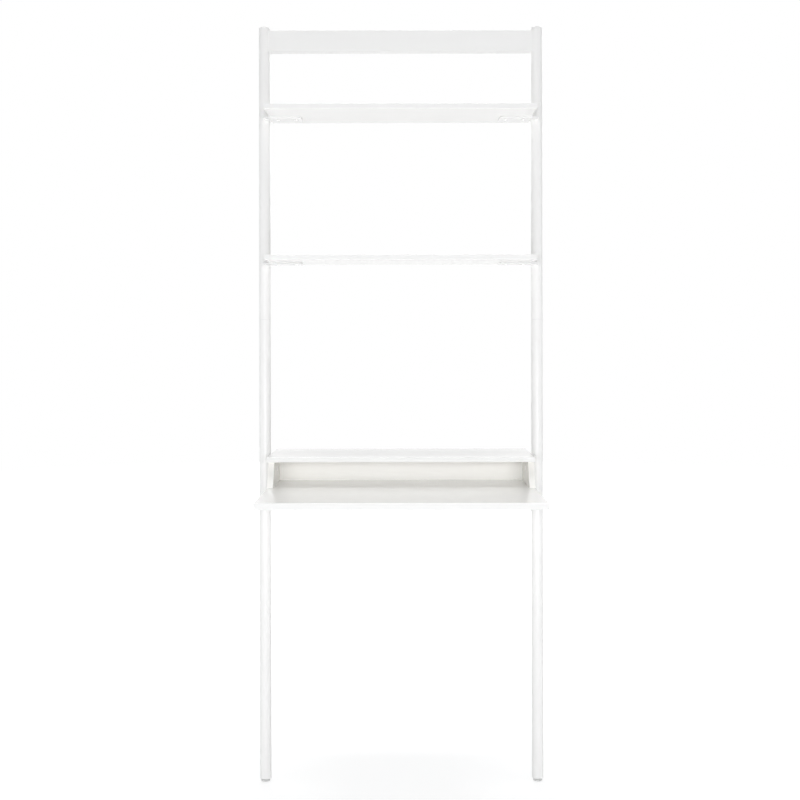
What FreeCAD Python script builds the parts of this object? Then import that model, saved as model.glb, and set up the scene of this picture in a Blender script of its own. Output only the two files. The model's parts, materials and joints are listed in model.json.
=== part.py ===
import FreeCAD, Part
import os
import Sketcher
from FreeCAD import Placement, Rotation, Vector

# Ladder desk that leans against a wall: two round posts, two shelves, a low hutch and a desktop
# between the posts. Front faces -Y, the wall is at +Y, +Z is up, millimetres and degrees.

os.makedirs("parts", exist_ok=True)
doc = FreeCAD.newDocument("ladder_desk")
sheet = doc.addObject("Spreadsheet::Sheet", "Sizes")

sizes = {
    # stance
    "lean_angle": 5,
    "depth": 450,
    "wall_gap": 2,
    "post_spacing": 675,
    "post_length": 1867,
    "top_gap": 31,
    # tubes
    "post_od": 28,
    "post_wall": 1.5,
    "weld_gap": 0.1,
    "slip_gap": 0.1,
    "side_gap": 0.5,
    # splice between lower and upper posts
    "splice_height": 1143,
    "seam_gap": 0.4,
    "sleeve_length": 120,
    "sleeve_wall": 2,
    "splice_screw_offset": 30,
    "splice_shank_od": 5,
    "splice_head_od": 9,
    "splice_head_height": 2.6,
    "splice_shank_length": 9,
    # caps
    "cap_thick": 2,
    "cap_edge_radius": 1.2,
    "cap_plug_length": 14,
    "cap_wall": 2,
    # levelling feet
    "pad_od": 22,
    "pad_edge_height": 3.8,
    "pad_height": 6.6,
    "pad_chamfer": 1.2,
    "ball_od": 7,
    "ball_height": 4.8,
    "socket_gap": 0.3,
    "neck_od": 4.6,
    "stud_od": 8,
    "stud_top_height": 52,
    "stud_gap": 0.1,
    "insert_height": 7.6,
    "insert_flange_thick": 1.6,
    "insert_plug_length": 30,
    # top rail
    "rail_height": 50,
    "rail_depth": 20,
    "rail_wall": 1.5,
    "rail_offset": 9,
    # boards
    "board_edge_radius": 1.5,
    "shelf_thick": 12,
    "upper_shelf_offset": 212,
    "upper_shelf_depth": 168,
    "lower_shelf_height": 1291,
    "lower_shelf_gap": 29,
    "lower_shelf_depth": 170,
    # shelf tabs, measured from the post axis
    "tab_thick": 4,
    "tab_corner_radius": 4,
    "tab_length": 94,
    "tab_width": 45,
    "tab_offset": 10,
    "tab_screw_inset": 15,
    "tab_screw_spacing": 44,
    # wood screws
    "wood_shank_od": 4,
    "wood_head_od": 8,
    "wood_head_height": 2.4,
    "wood_clear": 0.2,
    "pilot_gap": 0.05,
    "shelf_screw_depth": 8,
    "desk_screw_depth": 11,
    # desktop and its steel support
    "desk_height": 735,
    "desk_thick": 15,
    "desk_edge_radius": 1.5,
    "desk_corner_radius": 3,
    "desk_rail_height": 20,
    "desk_rail_depth": 24,
    "desk_rail_wall": 1.5,
    "gusset_size": 31,
    "gusset_edge_radius": 29,
    "gusset_thick": 3,
    "gusset_gap": 0.05,
    "arm_inset": 40,
    "arm_front_setback": 50,
    "arm_rear_setback": 23,
    "arm_width": 30,
    "arm_thick": 3,
    "arm_tip_height": 3,
    "arm_tail_height": 5,
    "arm_screw_offset": 9,
    "arm_screw_inset": 20,
    # hutch
    "hutch_rise_height": 73,
    "hutch_top_thick": 12,
    "hutch_top_depth": 203,
    "hutch_side_thick": 15,
    "hutch_side_depth": 216,
    "hutch_side_rake": 38,
    "cable_gap": 53,
    "hutch_back_thick": 12,
    "dowel_od": 8,
    "dowel_up_length": 7,
    "dowel_down_length": 22,
    "dowel_inset": 24,
    "back_dowel_od": 6,
    "back_dowel_side_depth": 8,
    "back_dowel_back_depth": 18,
    "back_dowel_inset": 15,
    "cam_od": 12,
    "cam_depth": 11,
    "cam_drop_depth": 24,
    "cam_front_inset": 55,
    "cam_rear_inset": 44,
    "cam_gap": 0.15,
    "cam_bolt_od": 5,
    "cam_bolt_head_od": 6.6,
    "cam_bolt_depth": 8,
    "cam_bolt_way_od": 7.4,
    "hutch_screw_depth": 25,
    "hutch_screw_front_inset": 55,
    "hutch_screw_rear_inset": 32,
    # wall brackets
    "bracket_spacing": 400,
    "bracket_width": 30,
    "bracket_thick": 2.5,
    "bracket_height": 42,
    "bracket_lap_length": 2,
    "bracket_hole_od": 5.5,
    "bracket_hole_height": 14,
    "bracket_screw_spacing": 16,
    "bracket_screw_offset": 5,
    "bracket_shank_od": 4,
    "bracket_head_od": 7.6,
    "bracket_cone_depth": 2,
    "bracket_screw_depth": 9,
}
for row, (alias, value) in enumerate(sizes.items(), start=1):
    sheet.set("A%d" % row, alias)
    sheet.set("B%d" % row, str(value))
    sheet.setAlias("B%d" % row, alias)
doc.recompute()


# Formulas in sheet terms. Every size or place below is one of these strings.
def use(text):
    words = []
    word = ""
    for letter in text + " ":
        if letter.isalnum() or letter in "_.":
            word += letter
        else:
            words.append("Sizes." + word if word in sizes else word)
            words.append(letter)
            word = ""
    return "".join(words).strip()


def number(text):
    value = sheet.evalExpression(use(text))
    return float(getattr(value, "Value", value))


sin_lean = "sin(lean_angle * 1 deg)"
cos_lean = "cos(lean_angle * 1 deg)"
tan_lean = "tan(lean_angle * 1 deg)"
wall_y = "(depth / 2)"
front_y = "(-depth / 2)"
rear_y = "(depth / 2 - wall_gap)"
foot_y = "(depth / 2 - top_gap - post_length * %s)" % sin_lean
post_x = "(post_spacing / 2)"
post_id = "(post_od - 2 * post_wall)"
inner_x = "(post_spacing / 2 - post_od / 2)"
board_half = "(post_spacing / 2 - post_od / 2 - side_gap)"
cope = "(post_od + 2 * weld_gap)"
plug_radius = "(post_od / 2 - post_wall - slip_gap)"
pilot = "(wood_shank_od + 2 * pilot_gap)"
clearance = "(wood_shank_od + 2 * wood_clear)"


def axis_y(height):
    return "(%s + (%s) * %s)" % (foot_y, height, tan_lean)


# Building helpers. Edges and volumes closer than this count as the same.
touch = 0.01


def bind(item, **values):
    for name, text in values.items():
        item.setExpression(name, use(str(text)))


def place(item, x="0", y="0", z="0"):
    item.setExpression("Placement.Base.x", use(x))
    item.setExpression("Placement.Base.y", use(y))
    item.setExpression("Placement.Base.z", use(z))
    return item


# Turns a piece to the lean of the posts
def tilt(item):
    item.Placement = Placement(Vector(), Rotation(Vector(1, 0, 0), -1))
    item.setExpression("Placement.Rotation.Angle", use("-lean_angle * 1 deg"))
    return item


# Sets a piece on the leaning frame: back is square to the posts, along is up the posts
def place_leaning(item, x="0", back="0", along="0"):
    y = "%s + (%s) * %s + (%s) * %s" % (foot_y, back, cos_lean, along, sin_lean)
    z = "(%s) * %s - (%s) * %s" % (along, cos_lean, back, sin_lean)
    return place(tilt(item), x, y, z)


def plane(body, role):
    for feature in body.Origin.OriginFeatures:
        if feature.Role == role:
            return feature


def sketch_on(body, role, name, offset="0"):
    sketch = body.newObject("Sketcher::SketchObject", name)
    sketch.AttachmentSupport = [(plane(body, role), "")]
    sketch.MapMode = "FlatFace"
    sketch.setExpression("AttachmentOffset.Base.z", use(offset))
    return sketch


def pin_point(sketch, edge, end, across, up):
    sketch.addConstraint(Sketcher.Constraint("DistanceX", -1, 1, edge, end, 1.0))
    sketch.setExpression("Constraints[%d]" % (sketch.ConstraintCount - 1), use(across))
    sketch.addConstraint(Sketcher.Constraint("DistanceY", -1, 1, edge, end, 1.0))
    sketch.setExpression("Constraints[%d]" % (sketch.ConstraintCount - 1), use(up))


def outline(sketch, corners):
    points = [Vector(number(across), number(up), 0) for across, up in corners]
    first = sketch.GeometryCount
    count = len(points)
    for index in range(count):
        sketch.addGeometry(Part.LineSegment(points[index], points[(index + 1) % count]))
    for index in range(count):
        ahead = first + (index + 1) % count
        sketch.addConstraint(Sketcher.Constraint("Coincident", first + index, 2, ahead, 1))
    for index, (across, up) in enumerate(corners):
        pin_point(sketch, first + index, 1, across, up)


def ring(sketch, across, up, diameter):
    centre = Vector(number(across), number(up), 0)
    edge = sketch.addGeometry(Part.Circle(centre, Vector(0, 0, 1), number(diameter) / 2))
    pin_point(sketch, edge, 3, across, up)
    sketch.addConstraint(Sketcher.Constraint("Diameter", edge, number(diameter)))
    sketch.setExpression("Constraints[%d]" % (sketch.ConstraintCount - 1), use(diameter))


def new_body(name):
    return doc.addObject("PartDesign::Body", name)


def pad(body, sketch, length, middle=False):
    feature = body.newObject("PartDesign::Pad", "pad")
    feature.Profile = sketch
    feature.setExpression("Length", use(length))
    feature.Midplane = middle
    doc.recompute()


# Cuts a sketch upwards from its plane, or right through the body where no depth is given
def pocket(body, sketch, depth=None):
    before = body.Shape.Volume
    feature = body.newObject("PartDesign::Pocket", "pocket")
    feature.Profile = sketch
    if depth:
        feature.setExpression("Length", use(depth))
        feature.Reversed = True
    else:
        feature.Type = "ThroughAll"
        feature.Midplane = True
    doc.recompute()
    if body.Shape.Volume > before - touch:
        raise RuntimeError("pocket cut nothing in " + body.Label)


def revolve(body, corners):
    sketch = sketch_on(body, "XZ_Plane", "profile")
    outline(sketch, corners)
    feature = body.newObject("PartDesign::Revolution", "turn")
    feature.Profile = sketch
    feature.ReferenceAxis = (sketch, ["V_Axis"])
    feature.Angle = 360
    doc.recompute()


def round_edges(body, wanted, radius):
    names = []
    for index, edge in enumerate(body.Shape.Edges, start=1):
        if wanted(edge):
            names.append("Edge%d" % index)
    solid = body.Tip
    feature = body.newObject("PartDesign::Fillet", "round")
    feature.Base = (solid, names)
    feature.setExpression("Radius", use(radius))
    doc.recompute()


# Edges picked for rounding, on bodies drawn with their front at y = 0
def front_upright(edge):
    return edge.BoundBox.YMax < touch and edge.BoundBox.ZLength > touch


def front_level(edge):
    return edge.BoundBox.YMax < touch and edge.BoundBox.ZLength < touch


def desk_rim(edge):
    return edge.BoundBox.ZLength < touch and edge.BoundBox.YMax < number("desk_corner_radius") + touch


def crown(edge):
    ring_wide = number("post_od / 2")
    return edge.BoundBox.ZMin > number("post_length") - touch and edge.BoundBox.YLength > ring_wide


def tab_end(edge):
    return edge.BoundBox.ZLength > touch and abs(edge.BoundBox.Center.x) > number("tab_length") - touch


def raked(edge):
    return edge.BoundBox.ZLength > touch and edge.BoundBox.YLength > touch


def cylinder(name, diameter, height, x="0", y="0", z="0", along="Z"):
    item = doc.addObject("Part::Cylinder", name)
    bind(item, Radius="(%s) / 2" % diameter, Height=height)
    turns = {"Z": Rotation(), "X": Rotation(Vector(0, 1, 0), 90), "Y": Rotation(Vector(1, 0, 0), -90)}
    item.Placement = Placement(Vector(), turns[along])
    return place(item, x, y, z)


def box(name, length, width, height, x="0", y="0", z="0"):
    item = doc.addObject("Part::Box", name)
    bind(item, Length=length, Width=width, Height=height)
    return place(item, x, y, z)


def cut(name, base, tools):
    item = doc.addObject("Part::Cut", name)
    item.Base = base
    if len(tools) > 1:
        tool = doc.addObject("Part::Compound", name + "_tools")
        tool.Links = tools
    else:
        tool = tools[0]
    item.Tool = tool
    doc.recompute()
    return item


pieces = []


def keep(item, label):
    item.Label = label
    pieces.append(item)
    return item


def group(label, form, places):
    item = doc.addObject("Part::Feature", label)
    solids = []
    for where in places:
        copy = form.Shape.copy()
        copy.Placement = where
        solids.append(copy)
    item.Shape = Part.makeCompound(solids)
    return keep(item, label)


def at(x, y, z, turn=None):
    return Placement(Vector(x, y, z), turn or Rotation())


def leaning_at(x, back, along, turn=None):
    lean = Rotation(Vector(1, 0, 0), -number("lean_angle"))
    frame = Placement(Vector(0, number(foot_y), 0), lean)
    return frame.multiply(at(x, back, along, turn))


sides = {"left": -1, "right": 1}


# Posts: round tubes that lean back, in a lower and an upper length with a seam between them
tube_low = "(insert_height + insert_flange_thick)"
tube_high = "(post_length - cap_thick)"
upper_low = "(splice_height + seam_gap)"
splice_low_screw = "(splice_height - splice_screw_offset)"
splice_high_screw = "(%s + splice_screw_offset)" % upper_low
splice_hole = "(splice_shank_od + 2 * wood_clear)"


def post(label, x, low, high, screw_at):
    outer = cylinder(label + "_outer", "post_od", "%s - %s" % (high, low), x, "0", low)
    bore = cylinder(label + "_bore", post_id, "%s - %s" % (high, low), x, "0", low)
    hole = cylinder(label + "_hole", splice_hole, "post_od", x, "0", screw_at, "Y")
    return keep(place_leaning(cut(label, outer, [bore, hole])), label)


for side, sign in sides.items():
    x = "%d * %s" % (sign, post_x)
    post("lower_post_" + side, x, tube_low, "splice_height", splice_low_screw)
    post("upper_post_" + side, x, upper_low, tube_high, splice_high_screw)

# Splice sleeves inside the seams, held by button head screws from the back
sleeve_od = "(post_od - 2 * post_wall - 2 * slip_gap)"
for side, sign in sides.items():
    label = "splice_sleeve_" + side
    x = "%d * %s" % (sign, post_x)
    low = "splice_height - sleeve_length / 2"
    outer = cylinder(label + "_outer", sleeve_od, "sleeve_length", x, "0", low)
    bore = cylinder(label + "_bore", "%s - 2 * sleeve_wall" % sleeve_od, "sleeve_length", x, "0", low)
    thread = "(splice_shank_od + 2 * pilot_gap)"
    lower_hole = cylinder(label + "_low", thread, "post_od", x, "0", splice_low_screw, "Y")
    upper_hole = cylinder(label + "_high", thread, "post_od", x, "0", splice_high_screw, "Y")
    keep(place_leaning(cut(label, outer, [bore, lower_hole, upper_hole])), label)

splice_screw = new_body("splice_screw_form")
revolve(splice_screw, [
    ("0", "splice_head_height"),
    ("splice_head_od * 0.3", "splice_head_height"),
    ("splice_head_od / 2", "splice_head_height * 0.4"),
    ("splice_head_od / 2", "0"),
    ("splice_shank_od / 2", "0"),
    ("splice_shank_od / 2", "-splice_shank_length"),
    ("0", "-splice_shank_length"),
])
backwards = Rotation(Vector(1, 0, 0), -90)
spots = []
for sign in sides.values():
    for along in (splice_low_screw, splice_high_screw):
        spots.append(leaning_at(sign * number(post_x), number("post_od / 2"), number(along), backwards))
group("splice_screws", splice_screw, spots)

# End caps in the post tops
for side, sign in sides.items():
    label = "post_cap_" + side
    cap = new_body(label)
    revolve(cap, [
        ("0", "post_length"),
        ("post_od / 2", "post_length"),
        ("post_od / 2", tube_high),
        (plug_radius, tube_high),
        (plug_radius, "%s - cap_plug_length" % tube_high),
        ("%s - cap_wall" % plug_radius, "%s - cap_plug_length" % tube_high),
        ("%s - cap_wall" % plug_radius, tube_high),
        ("0", tube_high),
    ])
    round_edges(cap, crown, "cap_edge_radius")
    keep(place_leaning(cap, "%d * %s" % (sign, post_x)), label)

# Levelling feet: plastic insert, threaded stud with a ball end, swivelling pad flat on the floor
for side, sign in sides.items():
    x = "%d * %s" % (sign, post_x)
    insert = new_body("foot_insert_" + side)
    bore = "(stud_od / 2 + stud_gap)"
    revolve(insert, [
        (bore, "insert_height"),
        ("post_od / 2", "insert_height"),
        ("post_od / 2", tube_low),
        (plug_radius, tube_low),
        (plug_radius, "%s + insert_plug_length" % tube_low),
        (bore, "%s + insert_plug_length" % tube_low),
    ])
    keep(place_leaning(insert, x), "foot_insert_" + side)

    stud_low = "(insert_height + insert_flange_thick / 2)"
    ball_along = "(ball_height / %s)" % cos_lean
    ball = doc.addObject("Part::Sphere", "ball_" + side)
    bind(ball, Radius="ball_od / 2")
    place(ball, x, "0", ball_along)
    neck = cylinder("neck_" + side, "neck_od", "%s - %s" % (stud_low, ball_along), x, "0", ball_along)
    shank = cylinder("shank_" + side, "stud_od", "stud_top_height - %s" % stud_low, x, "0", stud_low)
    stud = doc.addObject("Part::MultiFuse", "level_stud_" + side)
    stud.Shapes = [ball, neck, shank]
    doc.recompute()
    keep(place_leaning(stud), "level_stud_" + side)

    puck = new_body("puck_" + side)
    revolve(puck, [
        ("0", "0"),
        ("pad_od / 2 - pad_chamfer", "0"),
        ("pad_od / 2", "pad_chamfer"),
        ("pad_od / 2", "pad_edge_height"),
        ("ball_od / 2 + socket_gap", "pad_height"),
        ("0", "pad_height"),
    ])
    socket = doc.addObject("Part::Sphere", "socket_" + side)
    bind(socket, Radius="ball_od / 2 + socket_gap")
    place(socket, "0", "0", "ball_height")
    glide = cut("glide_pad_" + side, puck, [socket])
    keep(place(glide, x, axis_y("ball_height")), "glide_pad_" + side)

# Flat top rail between the posts, its ends coped to the round tubes
rail_high = "(post_length - rail_offset)"
rail_low = "(post_length - rail_offset - rail_height)"
rail_outer = box("rail_outer", "post_spacing", "rail_depth", "rail_height",
                 "-post_spacing / 2", "-rail_depth / 2", rail_low)
rail_bore = box("rail_bore", "post_spacing", "rail_depth - 2 * rail_wall", "rail_height - 2 * rail_wall",
                "-post_spacing / 2", "rail_wall - rail_depth / 2", "%s + rail_wall" % rail_low)
rail_tube = cut("rail_tube", rail_outer, [rail_bore])
rail_tools = []
for side, sign in sides.items():
    x = "%d * %s" % (sign, post_x)
    tube = cylinder("rail_cope_" + side, cope, "2 * rail_height", x, "0", "%s - rail_height / 2" % rail_low)
    rail_tools.append(tube)
    for half in (-1, 1):
        x = "%d * bracket_spacing / 2 + %d * bracket_screw_spacing / 2" % (sign, half)
        tap = "bracket_shank_od + 2 * pilot_gap"
        low = "%s - 1.5 * rail_wall" % rail_high
        rail_tools.append(cylinder("rail_tap", tap, "2 * rail_wall", x, "bracket_screw_offset", low))
keep(place_leaning(cut("top_rail", rail_tube, rail_tools)), "top_rail")

# Shelves and their welded tabs. Tab shapes are drawn from the post axis at the shelf's underside.
shelves = {
    "upper": ("(post_length * %s - upper_shelf_offset)" % cos_lean, "upper_shelf_depth", "0"),
    "lower": ("lower_shelf_height", "lower_shelf_depth", "lower_shelf_gap"),
}
tab_screws = [
    "(tab_length - tab_screw_inset - tab_screw_spacing)",
    "(tab_length - tab_screw_inset)",
]


def board(body, depth, thick):
    sketch = sketch_on(body, "XY_Plane", "plan")
    left = "-" + board_half
    outline(sketch, [(left, "0"), (board_half, "0"), (board_half, depth), (left, depth)])
    pad(body, sketch, thick)


shelf_screw_places = []
for name, (top, depth, behind) in shelves.items():
    under = "(%s - shelf_thick)" % top
    front = "(%s - %s - %s)" % (rear_y, behind, depth)
    middle = axis_y("%s - tab_thick / 2" % under)
    shelf = new_body(name + "_shelf_board")
    board(shelf, depth, "shelf_thick")
    round_edges(shelf, front_level, "board_edge_radius")
    pilots = sketch_on(shelf, "XY_Plane", "pilots")
    for sign in sides.values():
        for across in tab_screws:
            x = "%d * (%s - %s)" % (sign, post_x, across)
            y = "(%s - tab_offset)" % middle
            ring(pilots, x, "%s - %s" % (y, front), pilot)
            shelf_screw_places.append(at(number(x), number(y), number("%s - tab_thick" % under)))
    pocket(shelf, pilots, "shelf_screw_depth + pilot_gap")
    keep(place(shelf, "0", front, under), name + "_shelf")

    for side, sign in sides.items():
        tab = new_body("%s_tab_%s_plate" % (name, side))
        plan = sketch_on(tab, "XY_Plane", "plan")
        far = "%d * tab_length" % -sign
        outline(plan, [
            ("0", "tab_width / 2 - tab_offset"),
            (far, "tab_width / 2 - tab_offset"),
            (far, "-tab_width / 2 - tab_offset"),
            ("0", "-tab_width / 2 - tab_offset"),
        ])
        pad(tab, plan, "tab_thick")
        round_edges(tab, tab_end, "tab_corner_radius")
        holes = sketch_on(tab, "XY_Plane", "holes")
        for across in tab_screws:
            ring(holes, "%d * %s" % (-sign, across), "-tab_offset", clearance)
        pocket(tab, holes)
        tube = tilt(cylinder("%s_tab_%s_cope" % (name, side), cope, "4 * post_od"))
        place(tube, "0", "-2 * post_od * %s" % sin_lean, "tab_thick / 2 - 2 * post_od * %s" % cos_lean)
        coped = cut("%s_tab_%s" % (name, side), tab, [tube])
        place(coped, "%d * %s" % (sign, post_x), middle, "%s - tab_thick" % under)
        keep(coped, "%s_tab_%s" % (name, side))


# Pan head wood screws, drawn head down with the bearing face at zero
def wood_screw(name, bite):
    form = new_body(name)
    revolve(form, [
        ("0", "-wood_head_height"),
        ("wood_head_od * 0.3", "-wood_head_height"),
        ("wood_head_od / 2", "-wood_head_height * 0.4"),
        ("wood_head_od / 2", "0"),
        ("wood_shank_od / 2", "0"),
        ("wood_shank_od / 2", "%s - wood_shank_od / 2" % bite),
        ("0", bite),
    ])
    return form


shelf_screw = wood_screw("shelf_screw_form", "(tab_thick + shelf_screw_depth)")
group("shelf_screws", shelf_screw, shelf_screw_places)

# Desktop between the posts
desk_under = "(desk_height - desk_thick)"
arm_x = "(%s - arm_inset)" % inner_x
rail_top = "(desk_height - desk_thick - arm_thick)"
rail_under = "(desk_height - desk_thick - arm_thick - desk_rail_height)"
rail_y = axis_y("%s - desk_rail_height / 2" % rail_top)
rail_front = "(%s - desk_rail_depth / 2)" % rail_y
rail_rear = "(%s + desk_rail_depth / 2)" % rail_y
arm_front = "(%s + arm_front_setback)" % front_y
arm_rear = "(%s - arm_rear_setback)" % rear_y
arm_screw_ys = [
    "(%s + arm_screw_inset)" % arm_front,
    "((%s + %s) / 2)" % (arm_front, rail_front),
    "(%s - arm_screw_inset)" % rail_front,
    "(%s - arm_screw_inset)" % arm_rear,
]
side_middle = "(%s - hutch_side_thick / 2)" % board_half
hutch_side_foot = "(%s - hutch_side_depth)" % rear_y
hutch_side_head = "(%s + hutch_side_rake)" % hutch_side_foot
hutch_screw_ys = [
    "(%s + hutch_screw_front_inset)" % hutch_side_foot,
    "(%s - hutch_screw_rear_inset)" % rear_y,
]

desk = new_body("desktop")
board(desk, "depth - wall_gap", "desk_thick")
round_edges(desk, front_upright, "desk_corner_radius")
round_edges(desk, desk_rim, "desk_edge_radius")
pilots = sketch_on(desk, "XY_Plane", "pilots")
desk_screw_places = []
for sign in sides.values():
    for y in arm_screw_ys:
        x = "%d * (%s + arm_screw_offset)" % (sign, arm_x)
        ring(pilots, x, "%s + depth / 2" % y, pilot)
        desk_screw_places.append(at(number(x), number(y), number(rail_top)))
pocket(desk, pilots, "desk_screw_depth + pilot_gap")
clear = sketch_on(desk, "XY_Plane", "clear")
sinks = sketch_on(desk, "XY_Plane", "sinks")
hutch_screw_places = []
for sign in sides.values():
    for y in hutch_screw_ys:
        x = "%d * %s" % (sign, side_middle)
        ring(clear, x, "%s + depth / 2" % y, clearance)
        ring(sinks, x, "%s + depth / 2" % y, "wood_head_od + 2 * wood_clear")
        hutch_screw_places.append(at(number(x), number(y), number("%s + wood_head_height" % desk_under)))
pocket(desk, clear)
pocket(desk, sinks, "wood_head_height")
keep(place(desk, "0", front_y, desk_under), "desktop")

# Rectangular rail under the desktop, coped to the leaning posts
rail_outer = box("desk_rail_outer", "post_spacing", "desk_rail_depth", "desk_rail_height",
                 "-post_spacing / 2", rail_front, rail_under)
rail_bore = box("desk_rail_bore", "post_spacing", "desk_rail_depth - 2 * desk_rail_wall",
                "desk_rail_height - 2 * desk_rail_wall", "-post_spacing / 2",
                "%s + desk_rail_wall" % rail_front, "%s + desk_rail_wall" % rail_under)
rail_tube = cut("desk_rail_tube", rail_outer, [rail_bore])
copes = []
for side, sign in sides.items():
    tube = cylinder("desk_rail_cope_" + side, cope, "post_length")
    copes.append(place_leaning(tube, "%d * %s" % (sign, post_x)))
keep(cut("desk_rail", rail_tube, copes), "desk_rail")

# Corner gussets below the rail with a concave quarter round edge
gusset_top = "((%s - gusset_gap - gusset_thick / 2 * %s) / %s)" % (rail_under, sin_lean, cos_lean)
for side, sign in sides.items():
    gusset = new_body("desk_gusset_" + side)
    face = sketch_on(gusset, "XZ_Plane", "face")
    near = "%d * (%s - weld_gap)" % (sign, inner_x)
    far = "%d * (%s - weld_gap - gusset_size)" % (sign, inner_x)
    bottom = "%s - gusset_size" % gusset_top
    outline(face, [(near, gusset_top), (far, gusset_top), (far, bottom), (near, bottom)])
    pad(gusset, face, "gusset_thick", middle=True)
    scoop = sketch_on(gusset, "XZ_Plane", "scoop")
    ring(scoop, far, bottom, "2 * gusset_edge_radius")
    pocket(gusset, scoop)
    keep(place_leaning(gusset), "desk_gusset_" + side)

# Tapered arms of T-section: the flange runs over the rail, the webs meet it front and back
arm_webs = [(rail_front, arm_front, "arm_tip_height"), (rail_rear, arm_rear, "arm_tail_height")]
for side, sign in sides.items():
    arm = new_body("desk_arm_" + side)
    flange = sketch_on(arm, "YZ_Plane", "flange")
    outline(flange, [
        (arm_front, rail_top),
        (arm_rear, rail_top),
        (arm_rear, desk_under),
        (arm_front, desk_under),
    ])
    pad(arm, flange, "arm_width", middle=True)
    for near, far, tip in arm_webs:
        web = sketch_on(arm, "YZ_Plane", "web")
        tip_low = "%s - %s" % (rail_top, tip)
        outline(web, [(near, rail_top), (far, rail_top), (far, tip_low), (near, rail_under)])
        pad(arm, web, "arm_thick", middle=True)
    holes = sketch_on(arm, "XY_Plane", "holes")
    for y in arm_screw_ys:
        ring(holes, "%d * arm_screw_offset" % sign, y, clearance)
    pocket(arm, holes)
    keep(place(arm, "%d * %s" % (sign, arm_x)), "desk_arm_" + side)

desk_screw = wood_screw("desk_screw_form", "(arm_thick + desk_screw_depth)")
group("desk_screws", desk_screw, desk_screw_places)

# Hutch: a top and a back between two sides with raked front edges, standing on the desktop
hutch_under = "(desk_height + hutch_rise_height - hutch_top_thick)"
hutch_top_front = "(%s - hutch_top_depth)" % rear_y
dowel_ys = ["(%s + dowel_inset)" % hutch_side_head, "(%s - dowel_inset)" % rear_y]
cam_ys = ["(%s + cam_front_inset)" % hutch_side_head, "(%s - cam_rear_inset)" % rear_y]
back_front = "(%s - cable_gap - hutch_back_thick)" % rear_y
back_middle = "(%s - cable_gap - hutch_back_thick / 2)" % rear_y
back_dowel_zs = ["(desk_height + back_dowel_inset)", "(%s - back_dowel_inset)" % hutch_under]
inner_face = "(%s - hutch_side_thick)" % board_half
cam_z = "(%s - cam_drop_depth)" % hutch_under
dowel_bore = "(dowel_od + 2 * pilot_gap)"
back_dowel_bore = "(back_dowel_od + 2 * pilot_gap)"

lid = new_body("hutch_top")
board(lid, "hutch_top_depth", "hutch_top_thick")
round_edges(lid, front_level, "board_edge_radius")
dowel_holes = sketch_on(lid, "XY_Plane", "dowel_holes")
bolt_holes = sketch_on(lid, "XY_Plane", "bolt_holes")
for sign in sides.values():
    x = "%d * %s" % (sign, side_middle)
    for y in dowel_ys:
        ring(dowel_holes, x, "%s - %s" % (y, hutch_top_front), dowel_bore)
    for y in cam_ys:
        ring(bolt_holes, x, "%s - %s" % (y, hutch_top_front), "cam_bolt_od + 2 * pilot_gap")
pocket(lid, dowel_holes, "dowel_up_length + pilot_gap")
pocket(lid, bolt_holes, "cam_bolt_depth + pilot_gap")
keep(place(lid, "0", hutch_top_front, hutch_under), "hutch_top")



# Where a level hole of this depth starts, in a side panel drilled from its inner face
def from_inside(sign, depth):
    if sign > 0:
        return "-hutch_side_thick / 2"
    return "hutch_side_thick / 2 - %s" % depth


for side, sign in sides.items():
    label = "hutch_side_" + side
    cheek = new_body(label + "_panel")
    face = sketch_on(cheek, "YZ_Plane", "face")
    outline(face, [
        (hutch_side_foot, "desk_height"),
        (rear_y, "desk_height"),
        (rear_y, hutch_under),
        (hutch_side_head, hutch_under),
    ])
    pad(cheek, face, "hutch_side_thick", middle=True)
    round_edges(cheek, raked, "board_edge_radius")
    tools = []
    for y in dowel_ys:
        low = "%s - dowel_down_length - pilot_gap" % hutch_under
        tools.append(cylinder("dowel_hole", dowel_bore, "dowel_down_length + dowel_od", "0", y, low))
    for y in cam_ys:
        way = cylinder("bolt_way", "cam_bolt_way_od", "cam_drop_depth + cam_od", "0", y, cam_z)
        seat_depth = "(cam_depth + cam_gap)"
        seat_x = from_inside(sign, seat_depth)
        seat = cylinder("cam_seat", "cam_od + 2 * cam_gap", seat_depth, seat_x, y, cam_z, "X")
        both = doc.addObject("Part::MultiFuse", "cam_cut")
        both.Shapes = [way, seat]
        tools.append(both)
    for z in back_dowel_zs:
        pin_depth = "(back_dowel_side_depth + pilot_gap)"
        pin_x = from_inside(sign, pin_depth)
        tools.append(cylinder("pin_hole", back_dowel_bore, pin_depth, pin_x, back_middle, z, "X"))
    for y in hutch_screw_ys:
        tools.append(cylinder("screw_pilot", pilot, "hutch_screw_depth + pilot_gap", "0", y, "desk_height"))
    keep(place(cut(label, cheek, tools), "%d * %s" % (sign, side_middle)), label)

panel = box("hutch_back_panel", "2 * %s" % inner_face, "hutch_back_thick", "%s - desk_height" % hutch_under,
            "-%s" % inner_face, back_front, "desk_height")
pin_depth = "(back_dowel_back_depth + pilot_gap)"
tools = []
for start in ("-%s" % inner_face, "%s - %s" % (inner_face, pin_depth)):
    for z in back_dowel_zs:
        tools.append(cylinder("back_pin", back_dowel_bore, pin_depth, start, back_middle, z, "X"))
keep(cut("hutch_back", panel, tools), "hutch_back")

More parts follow.
